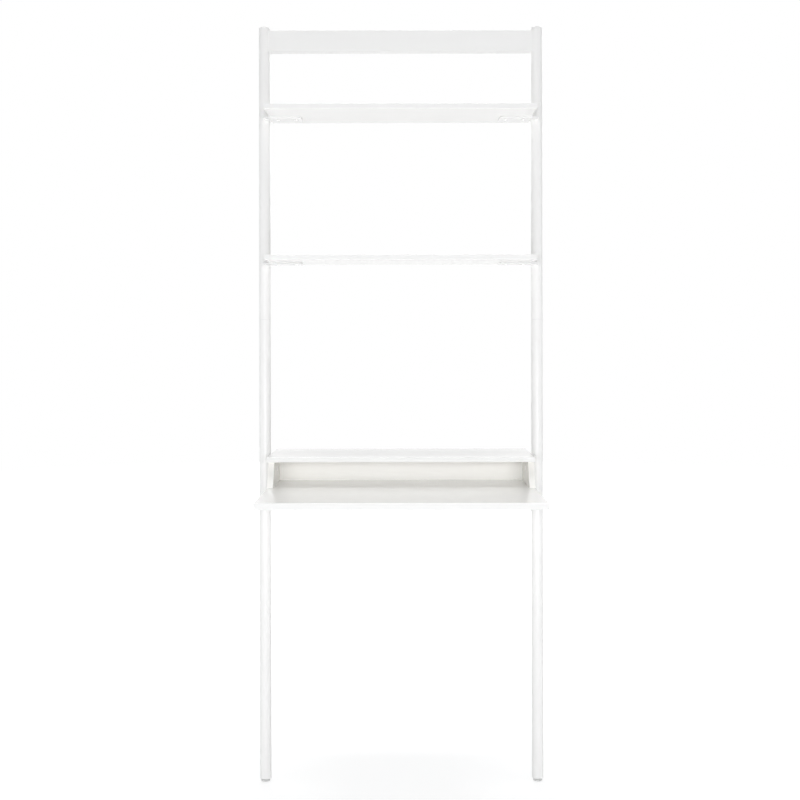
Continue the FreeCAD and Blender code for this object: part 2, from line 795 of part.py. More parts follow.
# Beech dowels, thick ones upright between top and sides, thin ones level between back and sides
dowels = doc.addObject("Part::Feature", "hutch_dowels")
solids = []
for sign in sides.values():
    for y in dowel_ys:
        base = Vector(sign * number(side_middle), number(y), number("%s - dowel_down_length" % hutch_under))
        length = number("dowel_down_length + dowel_up_length")
        solids.append(Part.makeCylinder(number("dowel_od") / 2, length, base))
    for z in back_dowel_zs:
        start = sign * number("%s - back_dowel_back_depth" % inner_face)
        base = Vector(start, number(back_middle), number(z))
        length = number("back_dowel_back_depth + back_dowel_side_depth")
        solids.append(Part.makeCylinder(number("back_dowel_od") / 2, length, base, Vector(sign, 0, 0)))
dowels.Shape = Part.makeCompound(solids)
keep(dowels, "hutch_dowels")

# Cam fittings: a bolt down from the top ends in the hollow of a cam in the side's inner face
cam_bolt = new_body("cam_bolt_form")
revolve(cam_bolt, [
    ("0", "cam_bolt_depth"),
    ("cam_bolt_od / 2", "cam_bolt_depth"),
    ("cam_bolt_od / 2", "cam_bolt_od - cam_drop_depth"),
    ("cam_bolt_head_od / 2", "cam_bolt_od - cam_drop_depth"),
    ("cam_bolt_head_od / 2", "-cam_drop_depth"),
    ("0", "-cam_drop_depth"),
])
cam_body = cylinder("cam_body", "cam_od", "cam_depth", "0", "0", "0", "X")
cam_way = cylinder("cam_way", "cam_bolt_way_od", "cam_od", "hutch_side_thick / 2", "0", "-cam_gap")
cam_form = cut("cam_form", cam_body, [cam_way])
bolt_places = []
cam_places = []
half_turn = Rotation(Vector(0, 0, 1), 180)
for sign in sides.values():
    for y in cam_ys:
        bolt_places.append(at(sign * number(side_middle), number(y), number(hutch_under)))
        turn = Rotation() if sign > 0 else half_turn
        cam_places.append(at(sign * number(inner_face), number(y), number(cam_z), turn))
group("cam_bolts", cam_bolt, bolt_places)
group("cam_locks", cam_form, cam_places)

hutch_screw = wood_screw("hutch_screw_form", "(desk_thick - wood_head_height + hutch_screw_depth)")
group("hutch_screws", hutch_screw, hutch_screw_places)

# Wall brackets: a leg on top of the rail, a flange with a screw hole flat on the wall
bracket_top = "((%s + bracket_thick) * %s - top_gap * %s)" % (rail_high, cos_lean, sin_lean)
bracket_low = "(%s - bracket_height)" % bracket_top
for side, sign in sides.items():
    label = "wall_bracket_" + side
    middle = "%d * bracket_spacing / 2" % sign
    edge_x = "%s - bracket_width / 2" % middle
    leg = box(label + "_leg", "bracket_width", "top_gap + bracket_height", "bracket_thick")
    place_leaning(leg, edge_x, "-bracket_lap_length", rail_high)
    flange = box(label + "_flange", "bracket_width", "bracket_thick", "bracket_height",
                 edge_x, "%s - bracket_thick" % wall_y, bracket_low)
    angle = doc.addObject("Part::MultiFuse", label + "_angle")
    angle.Shapes = [leg, flange]
    behind = box(label + "_behind", "2 * bracket_width", "4 * bracket_height", "4 * bracket_height",
                 "%s - bracket_width" % middle, wall_y, "%s - 2 * bracket_height" % bracket_top)
    hole = cylinder(label + "_hole", "bracket_hole_od", "3 * bracket_thick", middle,
                    "%s - 2 * bracket_thick" % wall_y, "%s + bracket_hole_height" % bracket_low, "Y")
    tools = [behind, hole]
    for half in (-1, 1):
        sink = doc.addObject("Part::Cone", "%s_sink_%d" % (label, half + 1))
        bind(sink, Radius1="bracket_shank_od / 2 + wood_clear", Radius2="bracket_head_od / 2 + wood_clear",
             Height="bracket_thick")
        x = "%s + %d * bracket_screw_spacing / 2" % (middle, half)
        tools.append(place_leaning(sink, x, "bracket_screw_offset", rail_high))
    keep(cut(label, angle, tools), label)

bracket_screw = new_body("bracket_screw_form")
revolve(bracket_screw, [
    ("0", "bracket_thick"),
    ("bracket_head_od / 2", "bracket_thick"),
    ("bracket_shank_od / 2", "bracket_thick - bracket_cone_depth"),
    ("bracket_shank_od / 2", "-bracket_screw_depth + bracket_shank_od / 2"),
    ("0", "-bracket_screw_depth"),
])
spots = []
for sign in sides.values():
    for half in (-1, 1):
        x = sign * number("bracket_spacing / 2") + half * number("bracket_screw_spacing / 2")
        spots.append(leaning_at(x, number("bracket_screw_offset"), number(rail_high)))
group("bracket_screws", bracket_screw, spots)

# Checks before anything is written
doc.recompute()
for item in doc.Objects:
    if "Invalid" in item.State or "Error" in item.State:
        raise RuntimeError("failed object " + item.Label)
for item in pieces:
    if item.Shape.isNull() or not item.Shape.isValid() or not item.Shape.Solids:
        raise RuntimeError("bad shape in " + item.Label)
for item in pieces:
    item.Shape.exportStep("parts/%s.step" % item.Label)
    print(item.Label, len(item.Shape.Solids), round(item.Shape.Volume))
print(len(pieces), "pieces")
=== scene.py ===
import json
import math

import bmesh
import bpy
from mathutils import Matrix, Vector


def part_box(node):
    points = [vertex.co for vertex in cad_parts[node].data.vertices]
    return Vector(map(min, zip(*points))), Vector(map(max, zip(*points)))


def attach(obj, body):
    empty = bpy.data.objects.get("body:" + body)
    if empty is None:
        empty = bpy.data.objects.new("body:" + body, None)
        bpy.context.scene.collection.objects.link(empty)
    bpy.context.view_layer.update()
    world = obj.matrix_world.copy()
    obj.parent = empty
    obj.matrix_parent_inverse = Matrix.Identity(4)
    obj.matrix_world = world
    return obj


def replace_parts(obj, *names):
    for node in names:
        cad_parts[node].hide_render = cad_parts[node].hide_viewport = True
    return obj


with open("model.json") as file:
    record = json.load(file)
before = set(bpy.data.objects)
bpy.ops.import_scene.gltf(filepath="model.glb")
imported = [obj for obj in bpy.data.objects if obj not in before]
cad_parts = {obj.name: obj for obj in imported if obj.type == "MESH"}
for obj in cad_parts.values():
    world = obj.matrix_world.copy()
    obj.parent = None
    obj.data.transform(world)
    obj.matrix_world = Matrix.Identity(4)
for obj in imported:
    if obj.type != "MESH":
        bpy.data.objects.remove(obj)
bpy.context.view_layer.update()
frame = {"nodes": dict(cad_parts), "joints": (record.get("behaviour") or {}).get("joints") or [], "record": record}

# Ladder desk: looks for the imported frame. Metres, front faces -Y, the wall is at +Y.

mm = 0.001
nodes = frame["nodes"]
scene = bpy.context.scene
scene.view_settings.view_transform = "Standard"

# The posts lean: these three directions go with them
swivels = {joint["name"]: Vector(joint["pos_m"]) for joint in frame["joints"] if "pos_m" in joint}
slides = {joint["name"]: Vector(joint["axis"]) for joint in frame["joints"] if joint["type"] == "slide"}
acrossDir = Vector((1, 0, 0))
alongDir = -slides["left_level"].normalized()
backDir = alongDir.cross(acrossDir)
footPoint = swivels["left_swivel"] - alongDir * (swivels["left_swivel"].z / alongDir.z)
postX = swivels["right_swivel"].x
postRadius = (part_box("lower_post_left")[1].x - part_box("lower_post_left")[0].x) / 2
sides = {"left": -1, "right": 1}
print("frame loaded:", len(nodes), "nodes")


def onFrame(x, back, along):
    return Vector((x, footPoint.y, 0)) + backDir * back + alongDir * along


def axisY(z):  # where a post's axis is at a height
    return footPoint.y + z * alongDir.y / alongDir.z


def leanSpots(node):  # a node's points in x, back and along
    spots = [vert.co - Vector((0, footPoint.y, 0)) for vert in nodes[node].data.vertices]
    return [Vector((spot.x, spot.dot(backDir), spot.dot(alongDir))) for spot in spots]


def corners(points):
    return Vector(map(min, zip(*points))), Vector(map(max, zip(*points)))


def leanBox(node):
    return corners(leanSpots(node))


def islands(node):  # the separate solids of a node, as lists of points
    mesh = bmesh.new()
    mesh.from_mesh(nodes[node].data)
    bmesh.ops.remove_doubles(mesh, verts=mesh.verts, dist=1e-7)
    left = set(mesh.verts)
    found = []
    while left:
        queue = [left.pop()]
        solid = []
        while queue:
            vert = queue.pop()
            solid.append(vert.co.copy())
            for edge in vert.link_edges:
                other = edge.other_vert(vert)
                if other in left:
                    left.remove(other)
                    queue.append(other)
        found.append(solid)
    mesh.free()
    return sorted(found, key=lambda solid: tuple(round(c, 4) for c in solidMiddle(solid)))


def solidMiddle(solid):
    low, high = corners(solid)
    return (low + high) / 2


# Shader helpers: a Value is one socket, and sums on it add Math nodes
class Value:
    def __init__(self, look, socket):
        self.look = look
        self.socket = socket

    def maths(self, operation, first, second):
        return self.look.node("ShaderNodeMath", {"operation": operation}, {0: first, 1: second})

    def __add__(self, other):
        return self.maths("ADD", self, other)

    def __radd__(self, other):
        return self.maths("ADD", other, self)

    def __sub__(self, other):
        return self.maths("SUBTRACT", self, other)

    def __rsub__(self, other):
        return self.maths("SUBTRACT", other, self)

    def __mul__(self, other):
        return self.maths("MULTIPLY", self, other)

    def __rmul__(self, other):
        return self.maths("MULTIPLY", other, self)

    def most(self, other):
        return self.maths("MAXIMUM", self, other)


facingBand = (0.55, 0.85)  # a face is an edge when it looks this squarely to the front or back


class Look:
    def __init__(self, owner):
        owner.use_nodes = True
        self.owner = owner
        self.tree = owner.node_tree
        self.tree.nodes.clear()

    def node(self, kind, settings=None, sockets=None, output=0):
        new = self.tree.nodes.new(kind)
        for name, setting in (settings or {}).items():
            setattr(new, name, setting)
        for name, given in (sockets or {}).items():
            if isinstance(given, Value):
                self.tree.links.new(given.socket, new.inputs[name])
            else:
                new.inputs[name].default_value = given
        return Value(self, new.outputs[output]) if new.outputs else None

    def place(self):  # metres on the piece itself
        return self.node("ShaderNodeTexCoord", output="Object")

    def stretch(self, scale):
        return self.node("ShaderNodeMapping", {}, {"Vector": self.place(), "Scale": scale})

    def noise(self, vector, scale, detail=2.0):
        return self.node("ShaderNodeTexNoise", {}, {"Vector": vector, "Scale": scale, "Detail": detail})

    def mix(self, mask, first, second):
        return self.node("ShaderNodeMix", {"data_type": "RGBA"}, {0: mask, 6: first, 7: second}, 2)

    def alongDepth(self):  # one on faces that look to the front or the back of the desk
        facing = self.node("ShaderNodeTexCoord", output="Normal")
        depth = self.node("ShaderNodeSeparateXYZ", {}, {"Vector": facing}, "Y")
        size = self.node("ShaderNodeMath", {"operation": "ABSOLUTE"}, {0: depth})
        low, high = facingBand
        return self.node("ShaderNodeMapRange", {}, {"Value": size, "From Min": low, "From Max": high})

    def seen(self):  # one for rays that show the surroundings, none for rays that light a surface
        rays = [self.node("ShaderNodeLightPath", output=name)
                for name in ("Is Camera Ray", "Is Glossy Ray", "Is Transmission Ray")]
        return rays[0].most(rays[1]).most(rays[2])

    def bump(self, height, strength, distance):
        sockets = {"Height": height, "Strength": strength, "Distance": distance}
        return self.node("ShaderNodeBump", {}, sockets)

    def surface(self, sockets):
        shader = self.node("ShaderNodeBsdfPrincipled", {}, sockets)
        self.node("ShaderNodeOutputMaterial", {}, {"Surface": shader})
        return self.owner


def tone(red, green, blue):
    return (red, green, blue, 1.0)


def share(first, second, part):
    return first * part + second * (1 - part)


def around(mask, middle, spread):  # a value that swings about its middle
    return mask * spread + (middle - spread / 2)


# Steel: white powder coat with a fine orange peel. Plates are glossier, and satin on their faces that look to the
# front or back, where a painted shade darkens the colour
powderCoat = {
    "light": tone(0.906, 0.900, 0.888),
    "deep": tone(0.882, 0.875, 0.861),
    # painted shade: a darker tone for plate faces that look to the front or back
    "thin": tone(0.735, 0.732, 0.724),
    "cloudScale": 9.0,
    "cloudShare": 0.7,
    "peelScale": 620.0,
    "peelShare": 0.8,
    "dustScale": 2600.0,
    "peelStrength": 0.16,
    "peelDepth": 0.00022,
    "roughness": {"tube": 0.36, "plate": 0.20},
    "roughnessSpread": 0.12,
    "edgeRoughness": 0.16,
    "gloss": 0.6,
    "glossRoughness": 0.10,
    "ior": 1.48,
}


def makePowderCoat(name, kind):
    coat = powderCoat
    look = Look(bpy.data.materials.new(name))
    place = look.place()
    cloud = look.noise(place, coat["cloudScale"], 3.0)
    peel = look.noise(place, coat["peelScale"], 1.5)
    dust = look.noise(place, coat["dustScale"], 1.0)
    paint = look.mix(share(cloud, dust, coat["cloudShare"]), coat["light"], coat["deep"])
    sheen = around(peel, coat["roughness"][kind], coat["roughnessSpread"])
    sockets = {
        "Base Color": paint,
        "Roughness": sheen,
        "Normal": look.bump(share(peel, dust, coat["peelShare"]), coat["peelStrength"], coat["peelDepth"]),
        "IOR": coat["ior"],
    }
    if kind == "plate":
        edge = look.alongDepth()
        # painted shade on the plate's front and back faces
        sockets["Base Color"] = look.mix(edge, paint, coat["thin"])
        sockets["Roughness"] = sheen + edge * coat["edgeRoughness"]
        sockets["Coat Weight"] = coat["gloss"] - edge * coat["gloss"]
        sockets["Coat Roughness"] = coat["glossRoughness"]
    return look.surface(sockets)


# Boards: sprayed lacquer over fibreboard, flow marks running along the board, satin on the faces that look to the
# front or back, where a painted shade also greys the white boards.
# The hutch back and sides get a warmer copy of the lacquer as painted warm shade for the inside of the hutch, with
# no painted edge shade
boardLacquer = {
    "white": tone(0.958, 0.949, 0.930),
    # painted warm shade: a warmer tone for the hutch back and sides
    "hutch": tone(0.964, 0.945, 0.892),
    "deep": tone(0.938, 0.928, 0.907),
    # painted shade: a greyer tone for board faces that look to the front or back
    "edge": tone(0.872, 0.866, 0.853),
    "cloudScale": 5.0,
    "cloudShare": 0.75,
    "flowStretch": (1.0, 5.0, 5.0),
    "flowScale": 46.0,
    "flowShare": 0.7,
    "grainScale": 900.0,
    "flowStrength": 0.10,
    "flowDepth": 0.0005,
    "roughness": 0.19,
    "roughnessSpread": 0.08,
    "edgeRoughness": 0.36,
    "gloss": 0.45,
    "glossRoughness": 0.08,
    "ior": 1.5,
}


def makeBoardLacquer(name, colour):
    paint = boardLacquer
    look = Look(bpy.data.materials.new(name))
    place = look.place()
    cloud = look.noise(place, paint["cloudScale"], 3.0)
    flow = look.noise(look.stretch(paint["flowStretch"]), paint["flowScale"], 2.0)
    grain = look.noise(place, paint["grainScale"], 1.0)
    edge = look.alongDepth()
    face = look.mix(share(cloud, grain, paint["cloudShare"]), paint[colour], paint["deep"])
    # the white boards get painted shade on their front and back faces
    if colour == "white":
        face = look.mix(edge, face, paint["edge"])
    sheen = around(flow, paint["roughness"], paint["roughnessSpread"])
    ripple = share(flow, grain, paint["flowShare"])
    return look.surface({
        "Base Color": face,
        "Roughness": sheen + edge * paint["edgeRoughness"],
        "Normal": look.bump(ripple, paint["flowStrength"], paint["flowDepth"]),
        "Coat Weight": paint["gloss"] - edge * paint["gloss"],
        "Coat Roughness": paint["glossRoughness"],
        "IOR": paint["ior"],
    })


# Caps and foot inserts: moulded plastic with a spark-eroded skin
mouldedPlastic = {
    "light": tone(0.900, 0.898, 0.885),
    "deep": tone(0.865, 0.862, 0.845),
    "cloudScale": 30.0,
    "skinScale": 1500.0,
    "skinStrength": 0.22,
    "skinDepth": 0.00015,
    "roughness": 0.46,
    "roughnessSpread": 0.12,
    "ior": 1.46,
}


def makeMouldedPlastic():
    plastic = mouldedPlastic
    look = Look(bpy.data.materials.new("whiteMouldedPlastic"))
    place = look.place()
    cloud = look.noise(place, plastic["cloudScale"], 2.0)
    skin = look.noise(place, plastic["skinScale"], 1.0)
    return look.surface({
        "Base Color": look.mix(cloud, plastic["light"], plastic["deep"]),
        "Roughness": around(skin, plastic["roughness"], plastic["roughnessSpread"]),
        "Normal": look.bump(skin, plastic["skinStrength"], plastic["skinDepth"]),
        "IOR": plastic["ior"],
    })


# Glide pads: grey rubber, matt and a little dusty
padRubber = {
    "light": tone(0.78, 0.78, 0.77),
    "deep": tone(0.69, 0.69, 0.68),
    "speckScale": 700.0,
    "cloudScale": 120.0,
    "cloudShare": 0.6,
    "speckStrength": 0.35,
    "speckDepth": 0.0002,
    "roughness": 0.72,
    "roughnessSpread": 0.2,
}


def makePadRubber():
    rubber = padRubber
    look = Look(bpy.data.materials.new("greyPadRubber"))
    place = look.place()
    cloud = look.noise(place, rubber["cloudScale"], 3.0)
    speck = look.noise(place, rubber["speckScale"], 2.0)
    return look.surface({
        "Base Color": look.mix(share(cloud, speck, rubber["cloudShare"]), rubber["light"], rubber["deep"]),
        "Roughness": around(speck, rubber["roughness"], rubber["roughnessSpread"]),
        "Normal": look.bump(speck, rubber["speckStrength"], rubber["speckDepth"]),
    })


# Screws, studs and cams: bright zinc plate with drawn marks
zincPlate = {
    "light": tone(0.60, 0.61, 0.63),
    "deep": tone(0.46, 0.47, 0.49),
    "cloudScale": 220.0,
    "scratchStretch": (1.0, 1.0, 9.0),
    "scratchScale": 900.0,
    "scratchStrength": 0.12,
    "scratchDepth": 0.0001,
    "roughness": 0.30,
    "roughnessSpread": 0.16,
}


def makeZincPlate():
    plate = zincPlate
    look = Look(bpy.data.materials.new("brightZincPlate"))
    cloud = look.noise(look.place(), plate["cloudScale"], 3.0)
    scratch = look.noise(look.stretch(plate["scratchStretch"]), plate["scratchScale"], 2.0)
    return look.surface({
        "Base Color": look.mix(cloud, plate["light"], plate["deep"]),
        "Metallic": 1.0,
        "Roughness": around(scratch, plate["roughness"], plate["roughnessSpread"]),
        "Normal": look.bump(scratch, plate["scratchStrength"], plate["scratchDepth"]),
    })


# Dowels: raw beech with fine flecks
beechWood = {
    "light": tone(0.66, 0.47, 0.30),
    "deep": tone(0.52, 0.34, 0.20),
    "grainStretch": (6.0, 6.0, 1.0),
    "grainScale": 160.0,
    "grainShare": 0.7,
    "fleckScale": 900.0,
    "grainStrength": 0.25,
    "grainDepth": 0.0002,
    "roughness": 0.6,
    "roughnessSpread": 0.2,
}


def makeBeechWood():
    wood = beechWood
    look = Look(bpy.data.materials.new("rawBeech"))
    grain = look.noise(look.stretch(wood["grainStretch"]), wood["grainScale"], 4.0)
    fleck = look.noise(look.place(), wood["fleckScale"], 2.0)
    return look.surface({
        "Base Color": look.mix(share(grain, fleck, wood["grainShare"]), wood["light"], wood["deep"]),
        "Roughness": around(1 - fleck, wood["roughness"], wood["roughnessSpread"]),
        "Normal": look.bump(grain, wood["grainStrength"], wood["grainDepth"]),
    })


finishes = {
    "white_steel": makePowderCoat("whitePowderCoat", "tube"),
    "white_board": makeBoardLacquer("whiteBoardLacquer", "white"),
    "white_plastic": makeMouldedPlastic(),
    "grey_rubber": makePadRubber(),
    "zinc_steel": makeZincPlate(),
    "beech": makeBeechWood(),
}
# plates take the coat with painted shade on their front and back faces
plateCoat = makePowderCoat("whitePlateCoat", "plate")
# the hutch back and sides take the warmer lacquer, painted warm shade for the inside of the hutch
hutchShadeLacquer = makeBoardLacquer("warmShadeHutchLacquer", "hutch")
variants = {"upper_tab": plateCoat, "lower_tab": plateCoat, "desk_gusset": plateCoat,
            "hutch_back": hutchShadeLacquer, "hutch_side": hutchShadeLacquer}
for row in frame["record"]["subparts"]:
    slots = nodes[row["node"]].data.materials
    slots.clear()
    family = row["node"].removesuffix("_left").removesuffix("_right")
    slots.append(variants.get(family, finishes[row["material_slot"]]))
print("finishes:", len(finishes))


# Mesh helpers
def addPiece(name, mesh, slot, body="frame", smooth=35):
    data = bpy.data.meshes.new(name)
    bmesh.ops.remove_doubles(mesh, verts=mesh.verts, dist=1e-6)
    bmesh.ops.recalc_face_normals(mesh, faces=mesh.faces)
    mesh.to_mesh(data)
    mesh.free()
    data.materials.append(finishes[slot])
    piece = bpy.data.objects.new(name, data)
    scene.collection.objects.link(piece)
    data.shade_smooth()
    data.set_sharp_from_angle(angle=math.radians(smooth))
    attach(piece, body)
    print("piece:", name, len(data.polygons), "faces")
    return piece


def addRing(mesh, points):
    return [mesh.verts.new(point) for point in points]


def bridge(mesh, first, second):
    count = len(first)
    for index in range(count):
        ahead = (index + 1) % count
        mesh.faces.new((first[index], first[ahead], second[ahead], second[index]))


# Turns a profile of (radius, height) about an axis. A dent says how far a point is pushed down.
def turnProfile(mesh, place, profile, spokes, dent=None):
    rings = []
    for radius, height in profile:
        points = []
        for index in range(spokes):
            angle = 2 * math.pi * index / spokes
            x = radius * math.cos(angle)
            y = radius * math.sin(angle)
            drop = dent(x, y, height) if dent else 0.0
            points.append(place @ Vector((x, y, height - drop)))
        rings.append(addRing(mesh, points))
    for first, second in zip(rings, rings[1:]):
        bridge(mesh, first, second)
    for ring, turned in ((rings[0], False), (rings[-1], True)):
        mesh.faces.new(ring if turned else list(reversed(ring)))


# A rod with a helical thread, from height 0 to its length
threadForm = {"rowsPerTurn": 6, "crestWidth": 1.6, "tipSize": 0.06}


def turnThread(mesh, place, radius, depth, pitch, length, spokes, tip=0.0):
    rows = max(2, round(length / pitch * threadForm["rowsPerTurn"]))
    rings = []
    for row in range(rows + 1):
        height = length * row / rows
        taper = 1.0
        if tip and height > length - tip:
            taper = max(threadForm["tipSize"], (length - height) / tip)
        points = []
        for index in range(spokes):
            turn = index / spokes
            phase = (height / pitch - turn) % 1.0
            crest = 1.0 - abs(2.0 * phase - 1.0)
            groove = 1.0 - min(1.0, crest * threadForm["crestWidth"])
            edge = (radius - depth * groove) * taper
            angle = 2 * math.pi * turn
            points.append(place @ Vector((edge * math.cos(angle), edge * math.sin(angle), height)))
        rings.append(addRing(mesh, points))
    for first, second in zip(rings, rings[1:]):
        bridge(mesh, first, second)
    mesh.faces.new(list(reversed(rings[0])))
    mesh.faces.new(rings[-1])


# A weld bead: a thin rounded run with ripples, thinned out at its ends
weldBead = {"step": 0.45 * mm, "ripple": 1.7 * mm, "rippleShare": 0.16, "wander": 0.13, "wanderRate": 900,
            "endRun": 1.5, "endSize": 0.08, "sidesRound": 8}


def evenPath(points, step):
    lengths = [(b - a).length for a, b in zip(points, points[1:])]
    total = sum(lengths)
    count = max(4, round(total / step))
    path = []
    index = 0
    passed = 0.0
    for number in range(count + 1):
        goal = total * number / count
        while index < len(lengths) - 1 and passed + lengths[index] < goal:
            passed += lengths[index]
            index += 1
        part = (goal - passed) / lengths[index] if lengths[index] else 0.0
        path.append(points[index].lerp(points[index + 1], min(1.0, part)))
    return path, total


def runBead(mesh, points, radius, seed):
    bead = weldBead
    path, total = evenPath(points, bead["step"])
    count = len(path)
    rings = []
    side = None
    for number, point in enumerate(path):
        ahead = path[min(count - 1, number + 1)] - path[max(0, number - 1)]
        ahead.normalize()
        if side is None:
            side = ahead.orthogonal().normalized()
        side = (side - ahead * side.dot(ahead)).normalized()
        other = ahead.cross(side)
        gone = total * number / (count - 1)
        ends = min(1.0, min(gone, total - gone) / (bead["endRun"] * radius))
        swell = math.sqrt(max(0.0, 1.0 - (1.0 - ends) ** 2)) * (1.0 - bead["endSize"]) + bead["endSize"]
        wave = (gone / bead["ripple"] + bead["wander"] * math.sin(seed + gone * bead["wanderRate"])) % 1.0
        size = radius * swell * (1.0 + bead["rippleShare"] * (abs(math.sin(math.pi * wave)) - 0.5))
        spots = []
        for index in range(bead["sidesRound"]):
            angle = 2 * math.pi * index / bead["sidesRound"]
            spots.append(point + side * (size * math.cos(angle)) + other * (size * math.sin(angle)))
        rings.append(addRing(mesh, spots))
    for first, second in zip(rings, rings[1:]):
        bridge(mesh, first, second)
    mesh.faces.new(list(reversed(rings[0])))
    mesh.faces.new(rings[-1])


def postFace(sign, y, z):  # x of a post's inner surface at a y and height
    off = min(abs(y - axisY(z)), postRadius * 0.999)  # just inside the tube
    return sign * (postX - math.sqrt(postRadius ** 2 - off ** 2))


# Welds under the shelf tabs: a bead round the post where each tab is coped to it
tabWeld = {"from": -88, "to": 62, "step": 4, "radius": 1.7 * mm}  # degrees round the post
welds = bmesh.new()
for shelf in ("upper", "lower"):
    for side, sign in sides.items():
        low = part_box("%s_tab_%s" % (shelf, side))[0].z
        middle = axisY(low)
        run = []
        for degrees in range(tabWeld["from"], tabWeld["to"] + 1, tabWeld["step"]):
            angle = math.radians(degrees)
            run.append(Vector((sign * (postX - postRadius * math.cos(angle)),
                               middle + postRadius * math.sin(angle), low)))
        runBead(welds, run, tabWeld["radius"], sign)
addPiece("tabWelds", welds, "white_steel")

# Welds of the top rail: up the front, over, down the back and under, round each post
railWeld = {"radius": 1.3 * mm, "arcSteps": 8}
welds = bmesh.new()
low, high = leanBox("top_rail")
half = (high.y - low.y) / 2
corner = math.asin(half / postRadius)
swing = [corner * (2 * step / railWeld["arcSteps"] - 1) for step in range(railWeld["arcSteps"] + 1)]


def railSpot(sign, angle, along):
    return onFrame(sign * (postX - postRadius * math.cos(angle)), postRadius * math.sin(angle), along)


for sign in sides.values():
    front = [railSpot(sign, -corner, along) for along in (low.z, high.z)]
    back = [railSpot(sign, corner, along) for along in (low.z, high.z)]
    over = [railSpot(sign, angle, high.z) for angle in swing]
    under = [railSpot(sign, angle, low.z) for angle in swing]
    for seed, run in enumerate((front, back, over, under), 1):
        runBead(welds, run, railWeld["radius"], seed)
addPiece("topRailWelds", welds, "white_steel")

# Welds of the desk rail on the posts
deskWeld = {"radius": 1.6 * mm, "steps": 8}
welds = bmesh.new()
low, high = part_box("desk_rail")
parts = [step / deskWeld["steps"] for step in range(deskWeld["steps"] + 1)]
heights = [low.z + (high.z - low.z) * part for part in parts]
depths = [low.y + (high.y - low.y) * part for part in parts]
for sign in sides.values():
    for y in (low.y, high.y):
        runBead(welds, [Vector((postFace(sign, y, z), y, z)) for z in heights], deskWeld["radius"], y)
    for z in (low.z, high.z):
        runBead(welds, [Vector((postFace(sign, y, z), y, z)) for y in depths], deskWeld["radius"], z)
addPiece("deskRailWelds", welds, "white_steel")

# Welds along both faces of the gussets, on the post and under the rail
gussetWeld = {"radius": 1.3 * mm, "endGap": 3 * mm}
welds = bmesh.new()
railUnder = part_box("desk_rail")[0].z
for side, sign in sides.items():
    low, high = leanBox("desk_gusset_" + side)
    for back in (low.y, high.y):
        x = sign * (postX - math.sqrt(postRadius ** 2 - back ** 2))
        upright = [onFrame(x, back, low.z + gussetWeld["endGap"]), onFrame(x, back, high.z)]
        runBead(welds, upright, gussetWeld["radius"], back)
        near, far = (high.x, low.x) if sign > 0 else (low.x, high.x)
        y = onFrame(0, back, high.z).y
        level = [Vector((near, y, railUnder)), Vector((far + sign * gussetWeld["endGap"], y, railUnder))]
        runBead(welds, level, gussetWeld["radius"], back + 1)
addPiece("gussetWelds", welds, "white_steel")

# Welds of the arms on the desk rail: up both sides of the web and along under the flange
armWeld = {"radius": 1.5 * mm, "webHalf": 1.5 * mm, "endGap": 1.5 * mm}
welds = bmesh.new()
railLow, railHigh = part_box("desk_rail")
for side in sides:
    low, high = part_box("desk_arm_" + side)
    middle = (low.x + high.x) / 2
    for y in (railLow.y, railHigh.y):
        for turn in (-1, 1):
            x = middle + turn * armWeld["webHalf"]
            outer = middle + turn * ((high.x - low.x) / 2 - armWeld["endGap"])
            upright = [Vector((x, y, railLow.z + armWeld["endGap"])), Vector((x, y, railHigh.z))]
            level = [Vector((x, y, railHigh.z)), Vector((outer, y, railHigh.z))]
            runBead(welds, upright, armWeld["radius"], turn)
            runBead(welds, level, armWeld["radius"], turn + 2)
addPiece("armWelds", welds, "white_steel")


# Heads of screws: turned, with a recess pressed in, each at its own turn
headForm = {"recessSlope": 0.55, "rim": 0.12, "spin": (31, 57)}
pinHole = 0.02 * mm  # the small flat at the middle of a turned end
metalSharp = 28  # degrees, where turned metal shows an edge


def softStep(value, edge, width):
    return min(1.0, max(0.0, (edge - value) / width + 0.5))


def crossDent(span, slot, depth, blur, topHeight):
    def dent(x, y, height):
        if height < topHeight:
            return 0.0
        bar = softStep(abs(y), slot / 2, blur) * softStep(abs(x), span / 2, blur)
        post = softStep(abs(x), slot / 2, blur) * softStep(abs(y), span / 2, blur)
        slope = 1.0 - headForm["recessSlope"] * math.hypot(x, y) / (span / 2)
        return depth * max(bar, post) * max(0.0, slope)
    return dent


def hexDent(acrossFlats, depth, blur, topHeight):
    turns = (0, math.pi / 3, 2 * math.pi / 3)

    def dent(x, y, height):
        if height < topHeight:
            return 0.0
        reach = max(abs(x * math.cos(turn) + y * math.sin(turn)) for turn in turns)
        return depth * softStep(reach, acrossFlats / 2, blur)
    return dent


def domeProfile(screw):
    radius = screw["head"] / 2
    tall = screw["tall"]
    flat = screw["flat"]
    profile = []
    for index in range(1, screw["rings"] + 1):
        part = index / screw["rings"]
        rise = tall if part <= flat else tall * math.sqrt(max(0.0, 1 - ((part - flat) / (1 - flat)) ** 2))
        profile.append((radius * part, max(rise, tall * headForm["rim"])))
    return profile + [(radius, 0.0)]


# Where each screw sits: the middle of its head's bearing face, and the axis pointing out of the head
def screwPlaces(node, outDir, headTall):
    spinX, spinY = headForm["spin"]
    places = []
    for solid in islands(node):
        middle = solidMiddle(solid)
        top = max(point.dot(outDir) for point in solid)
        low = min(point.dot(outDir) for point in solid)
        sideways = [point - outDir * point.dot(outDir) for point in solid]
        seat = solidMiddle(sideways) + outDir * (top - headTall)
        turn = outDir.to_track_quat("Z", "Y").to_matrix().to_4x4()
        spin = Matrix.Rotation(middle.x * spinX + middle.y * spinY, 4, "Z")
        places.append((Matrix.Translation(seat) @ turn @ spin, top - low - headTall))
    return places


